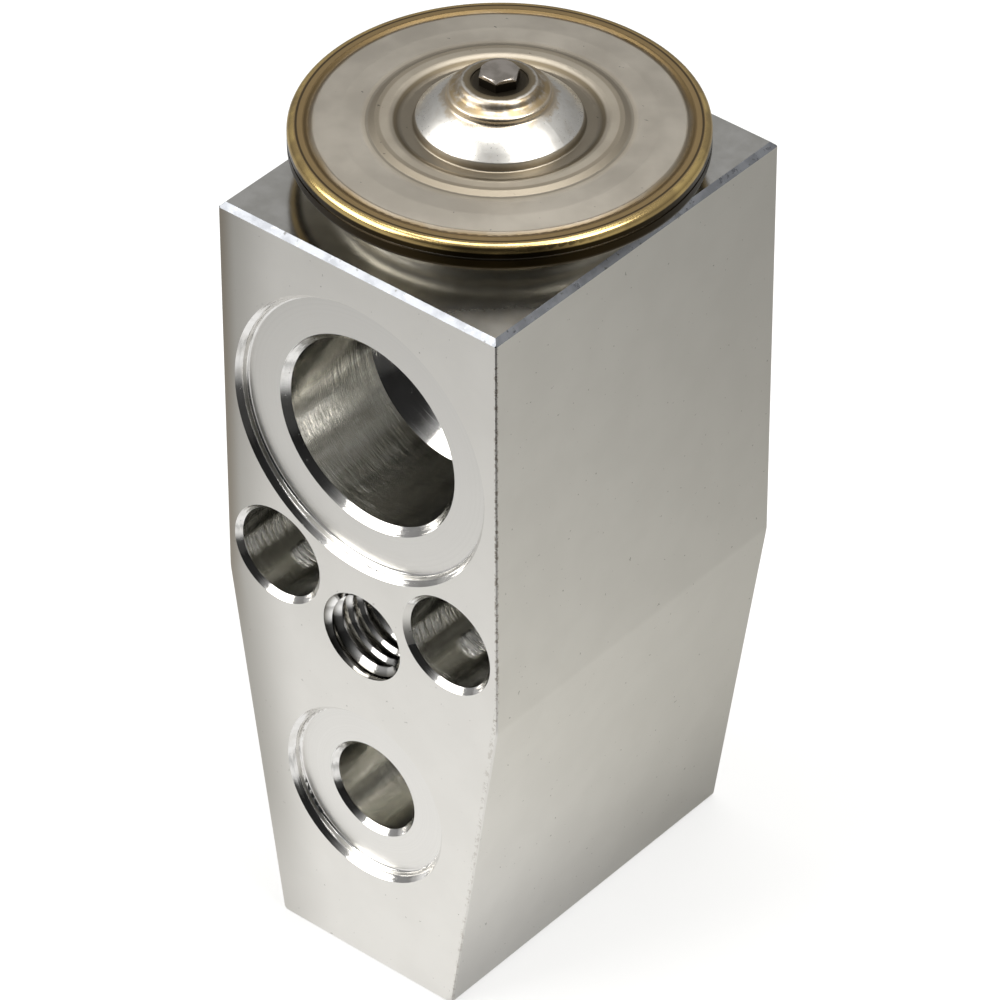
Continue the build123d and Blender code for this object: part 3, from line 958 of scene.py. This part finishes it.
@dataclass
class ClampThread:
    """The turns of the clamp hole's thread, a ridge wound on the hole's wall."""

    height: float = 33.9
    front: float = -17.0
    pitch: float = 1.25
    turns: float = 7.6
    first_depth: float = -0.55
    wall_radius: float = 4.05
    crest_radius: float = 3.4
    root_width: float = 1.16
    crest_width: float = 0.18
    mouth_radius: float = 4.0
    sharp_angle: float = 24.0
    steps: int = 120

    def build(self, finish: bpy.types.Material) -> bpy.types.Object:
        """Winds the ridge and makes it a plain mesh.

        Args:
            finish: The thread's material.

        Returns:
            The thread's object.
        """
        carrier = bpy.data.objects.new("thread_carrier", bpy.data.meshes.new("thread_carrier"))
        bpy.context.scene.collection.objects.link(carrier)
        tree = self._tree()
        modifier = carrier.modifiers.new("winding", "NODES")
        modifier.node_group = tree
        values = {"Turns": self.turns, "Pitch": self.pitch * MM, "Wall Radius": self.wall_radius * MM,
                  "Crest Radius": self.crest_radius * MM, "Root Width": self.root_width * MM,
                  "Crest Width": self.crest_width * MM, "Mouth Radius": self.mouth_radius * MM,
                  "First Depth": self.first_depth * MM, "Finish": finish}
        for item in tree.interface.items_tree:
            if item.item_type == "SOCKET" and item.in_out == "INPUT" and item.name in values:
                modifier[item.identifier] = values[item.name]
        seen = carrier.evaluated_get(bpy.context.evaluated_depsgraph_get())
        mesh = bpy.data.meshes.new_from_object(seen)
        carrier.modifiers.remove(modifier)
        bpy.data.objects.remove(carrier)
        mesh.name = "clamp_thread_turns"
        mesh.shade_smooth()
        mesh.set_sharp_from_angle(angle=math.radians(self.sharp_angle))
        thread = bpy.data.objects.new("clamp_thread_turns", mesh)
        bpy.context.scene.collection.objects.link(thread)
        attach(thread, "valve")
        log.info("clamp_thread_turns: %d faces", len(mesh.polygons))
        return thread

    def _tree(self) -> bpy.types.NodeTree:
        """Builds the tree that winds the ridge.

        Returns:
            The geometry node tree, with named inputs for its sizes.
        """
        tree = bpy.data.node_groups.new("wind_thread", "GeometryNodeTree")
        sizes = ("Turns", "Pitch", "Wall Radius", "Crest Radius", "Root Width", "Crest Width",
                 "Mouth Radius", "First Depth")
        for name in sizes:
            tree.interface.new_socket(name, in_out="INPUT", socket_type="NodeSocketFloat")
        tree.interface.new_socket("Finish", in_out="INPUT", socket_type="NodeSocketMaterial")
        tree.interface.new_socket("Mesh", in_out="OUTPUT", socket_type="NodeSocketGeometry")
        b = Bench(tree)
        given = b.add("NodeGroupInput")
        turns, pitch, wall, crest, root_width, crest_width, mouth, first = (b.number(given, n) for n in sizes)
        line = b.add("GeometryNodeCurvePrimitiveLine", None, {"End": (0.0, 1.0, 0.0)})
        count = turns * float(self.steps)
        points = b.add("GeometryNodeResampleCurve", None, {"Curve": line.outputs[0], "Count": count})
        turn = b.number(b.add("GeometryNodeInputIndex")) / float(self.steps)
        angle = turn * math.tau
        sine, cosine = angle.sine(), angle.maths("COSINE", angle)
        middle = (wall + crest) * 0.5
        spot = b.add("ShaderNodeCombineXYZ", None,
                     {0: sine * middle, 1: first + turn * pitch, 2: cosine * middle})
        wound = b.add("GeometryNodeSetPosition", None,
                      {"Geometry": points.outputs[0], "Position": spot.outputs[0]})
        along = b.add("GeometryNodeSetCurveNormal", {"mode": "FREE"},
                      {"Curve": wound.outputs[0], "Normal": (0.0, 1.0, 0.0)})
        section = b.add("GeometryNodeCurvePrimitiveQuadrilateral", {"mode": "TRAPEZOID"},
                        {"Bottom Width": crest_width, "Top Width": root_width,
                         "Height": wall - crest, "Offset": 0.0})
        ridge = b.add("GeometryNodeCurveToMesh", None,
                      {"Curve": along.outputs[0], "Profile Curve": section.outputs[0], "Fill Caps": True})
        x, y, z = b.axes(b.add("GeometryNodeInputPosition").outputs[0])
        radius = (x * x + z * z) ** 0.5
        scale = radius.most(mouth - y).least(wall) / radius
        kept = b.add("ShaderNodeCombineXYZ", None, {0: x * scale, 1: y.most(0.00001), 2: z * scale})
        cut = b.add("GeometryNodeSetPosition", None,
                    {"Geometry": ridge.outputs[0], "Position": kept.outputs[0]})
        placed = b.add("GeometryNodeTransform", None,
                       {"Geometry": cut.outputs[0], "Translation": (0.0, self.front * MM, self.height * MM)})
        real = b.add("GeometryNodeRealizeInstances", None, {0: placed.outputs[0]})
        dressed = b.add("GeometryNodeSetMaterial", None,
                        {"Geometry": real.outputs[0], "Material": given.outputs["Finish"]})
        b.add("NodeGroupOutput", None, {0: dressed.outputs[0]})
        return tree


@dataclass
class PowerHead:
    """The head's lid, cup and plug, which keep their solids and take their finishes."""

    lid: LidSheet = LidSheet()
    cup: CupSheet = CupSheet()
    plug: PlugSteel = PlugSteel()

    def build(self) -> None:
        """Dresses the three pieces."""
        dress("head_upper_cover", self.lid.build())
        dress("head_lower_cover", self.cup.build())
        dress("charge_plug", self.plug.build())


@dataclass
class InnerPieces:
    """The pieces inside the valve, each with the finish of its stock."""

    stainless: tuple[str, ...] = ("head_diaphragm", "diaphragm_pad", "ball_carrier")
    spring_steel: tuple[str, ...] = ("push_rod", "valve_ball", "rod_seal_retainer", "rod_damper",
                                     "superheat_spring")
    brass: tuple[str, ...] = ("seat_bush", "adjuster_screw")
    rubber: tuple[str, ...] = ("head_seal_ring", "rod_seal", "adjuster_seal")
    rod: tuple[str, ...] = ("sensing_rod",)

    def build(self) -> None:
        """Dresses every inner piece."""
        pressed = TurnedMetal("pressed_stainless", (0.62, 0.60, 0.56, 1.0), (0.54, 0.52, 0.48, 1.0), 0.26)
        steel = TurnedMetal("spring_steel", (0.56, 0.56, 0.57, 1.0), (0.46, 0.46, 0.47, 1.0), 0.2)
        brass = TurnedMetal("turned_brass", (0.78, 0.62, 0.32, 1.0), (0.66, 0.50, 0.24, 1.0), 0.24, 9.0)
        rod = TurnedMetal("turned_rod", (0.72, 0.72, 0.71, 1.0), (0.62, 0.62, 0.61, 1.0), 0.28, 8.0)
        finishes = ((self.stainless, pressed), (self.spring_steel, steel), (self.brass, brass),
                    (self.rubber, SealRubber()), (self.rod, rod))
        for nodes, finish in finishes:
            material = finish.build()
            for node in nodes:
                dress(node, material)


def dress(node: str, material: bpy.types.Material) -> None:
    """Gives a built piece its finish.

    Args:
        node: The piece's name.
        material: Its finish.
    """
    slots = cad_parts[node].material_slots
    if slots:
        for slot in slots:
            slot.link = "OBJECT"
            slot.material = material
    else:
        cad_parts[node].data.materials.append(material)
    log.info("%s: %s", node, material.name)


@dataclass
class Softbox:
    """A square studio lamp that faces the valve."""

    name: str
    direction: tuple[float, float, float]
    distance: float
    size: float
    power: float
    tint: tuple[float, float, float] = (1.0, 0.99, 0.97)
    aim: float = 0.04

    def build(self) -> bpy.types.Object:
        """Hangs the lamp.

        Returns:
            The lamp's object.
        """
        lamp = bpy.data.lights.new(self.name, "AREA")
        lamp.shape = "SQUARE"
        lamp.size = self.size
        lamp.energy = self.power
        lamp.color = self.tint
        held = bpy.data.objects.new(self.name, lamp)
        away = Vector(self.direction).normalized()
        held.location = away * self.distance + Vector((0.0, 0.0, self.aim))
        held.rotation_euler = away.to_track_quat("Z", "Y").to_euler()
        bpy.context.scene.collection.objects.link(held)
        return held


@dataclass
class Studio:
    """The plain white table, the pale room round it, its lamps and the camera."""

    eye: tuple[float, float, float] = (0.285828, -0.337813, 0.388384)
    target: tuple[float, float, float] = (-0.000055, 0.000018, 0.037344)
    roll: float = 0.1272
    lens: float = 253.72
    table_size: float = 6.0
    far_glow: float = 0.30
    near_glow: float = 0.62
    behind_loss: float = 0.20
    unlit_loss: float = 0.93
    beside_loss: float = 0.56
    wall_glow: float = 0.26
    ceiling_glow: float = 0.22
    dark_side: float = 0.94
    plain_light: float = 0.42

    def build(self) -> None:
        """Sets up the studio."""
        self._table()
        self._room()
        self._camera()
        lamps = (
            Softbox("front_left_lamp", (-0.515, -0.603, 0.609), 0.75, 0.60, 4.8),
            Softbox("right_lamp", (0.62, 0.10, 0.95), 0.80, 0.40, 3.6),
            Softbox("overhead_lamp", (-0.10, 0.10, 1.0), 1.0, 0.60, 5.0),
        )
        for lamp in lamps:
            lamp.build()
        log.info("studio: %d lamps", len(lamps))

    def _table(self) -> None:
        """Lays the white table, which shows white and keeps the valve's shadow; in reflections it glows as a
        painted pool of light, warmer and darker behind the valve, with a painted dark sector toward the
        camera and a painted shadow beside the foot.
        """
        half = self.table_size / 2
        mesh = bpy.data.meshes.new("table")
        corners = [(-half, -half, 0), (half, -half, 0), (half, half, 0), (-half, half, 0)]
        mesh.from_pydata(corners, [], [(0, 1, 2, 3)])
        table = bpy.data.objects.new("table", mesh)
        bpy.context.scene.collection.objects.link(table)
        s = Surface("white_table")
        seen, mirrored = s.reflected()
        radius = s.reach(s.x, s.y)
        # Painted pool of light, seen only in reflections: the glow fades away from the valve.
        pool = self.far_glow + self.near_glow * s.reach(s.x, s.y + 17.0).rise(135.0, 5.0)
        behind = (s.x * 0.65 + s.y * 0.76).rise(-5.0, 30.0)
        outward = s.x * 0.645 - s.y * 0.764
        sector = (outward / (radius + 1.0)).rise(0.72, 0.93)
        unlit = outward.rise(48.0, 92.0) * sector
        # Painted shadow beside the valve's right foot, seen only in reflections.
        foot_shadow = (s.x - 9.0).rise(11.0, 0.0) * s.x.rise(8.0, 9.5)
        shown = (1.0 - self.behind_loss * behind) * (1.0 - self.unlit_loss * unlit)
        glow_level = seen + mirrored * pool * shown * (1.0 - self.beside_loss * foot_shadow)
        paper = s.add("ShaderNodeBsdfDiffuse", None, {"Color": (0.86, 0.86, 0.85, 1.0)})
        tint = s.mix(behind * mirrored, (1.0, 1.0, 1.0, 1.0), (1.0, 0.985, 0.92, 1.0))
        glow = s.add("ShaderNodeEmission", None, {"Color": tint, "Strength": glow_level})
        share = s.add("ShaderNodeMixShader", None,
                      {0: seen * 0.55 + mirrored * (0.85 + 0.13 * unlit),
                       1: paper.outputs[0], 2: glow.outputs[0]})
        s.add("ShaderNodeOutputMaterial", None, {"Surface": share.outputs[0]})
        mesh.materials.append(s.material)

    def _room(self) -> None:
        """Paints the room: white behind the valve, graded walls in reflections, plain light elsewhere."""
        world = bpy.data.worlds.new("studio_room")
        bpy.context.scene.world = world
        world.use_nodes = True
        b = Bench(world.node_tree)
        x, y, z = b.axes(b.add("ShaderNodeTexCoord").outputs["Generated"])
        seen, mirrored = b.reflected()
        toward = (x * 0.515 - y * 0.609) * 1.254
        flat = (x * x + y * y + 0.0001) ** 0.5
        dark = (toward / flat).rise(0.55, 0.93) * z.rise(0.80, 0.62)
        walls = self.wall_glow + self.ceiling_glow * z.rise(0.0, 0.9)
        mirror = walls * (1.0 - dark * self.dark_side)
        level = seen + (1.0 - seen) * (mirrored * mirror + (1.0 - mirrored) * self.plain_light)
        sky = b.add("ShaderNodeBackground", None, {"Color": (1.0, 1.0, 1.0, 1.0), "Strength": level})
        b.add("ShaderNodeOutputWorld", None, {"Surface": sky.outputs[0]})

    def _camera(self) -> None:
        """Stands the camera where the photograph was taken from."""
        eye, target = Vector(self.eye), Vector(self.target)
        forward = (target - eye).normalized()
        level = forward.cross(Vector((0, 0, 1))).normalized()
        down = forward.cross(level)
        tilt = math.radians(self.roll)
        right = level * math.cos(tilt) + down * math.sin(tilt)
        up = level * math.sin(tilt) - down * math.cos(tilt)
        data = bpy.data.cameras.new("studio_camera")
        data.lens = self.lens
        data.sensor_width = 36.0
        data.clip_start = 0.01
        camera = bpy.data.objects.new("studio_camera", data)
        turn = Matrix((right, up, -forward)).transposed()
        camera.matrix_world = Matrix.Translation(eye) @ turn.to_4x4()
        bpy.context.scene.collection.objects.link(camera)
        bpy.context.scene.camera = camera


def main() -> None:
    """Builds the pieces in order and writes how large they came out."""
    logging.basicConfig(level=logging.INFO, format="%(name)s: %(message)s")
    bpy.context.scene.view_settings.view_transform = "Standard"
    block = Block().build()
    ClampThread().build(block.data.materials[Region.THREAD.value])
    PowerHead().build()
    InnerPieces().build()
    Studio().build()


if __name__ == "__main__":
    main()
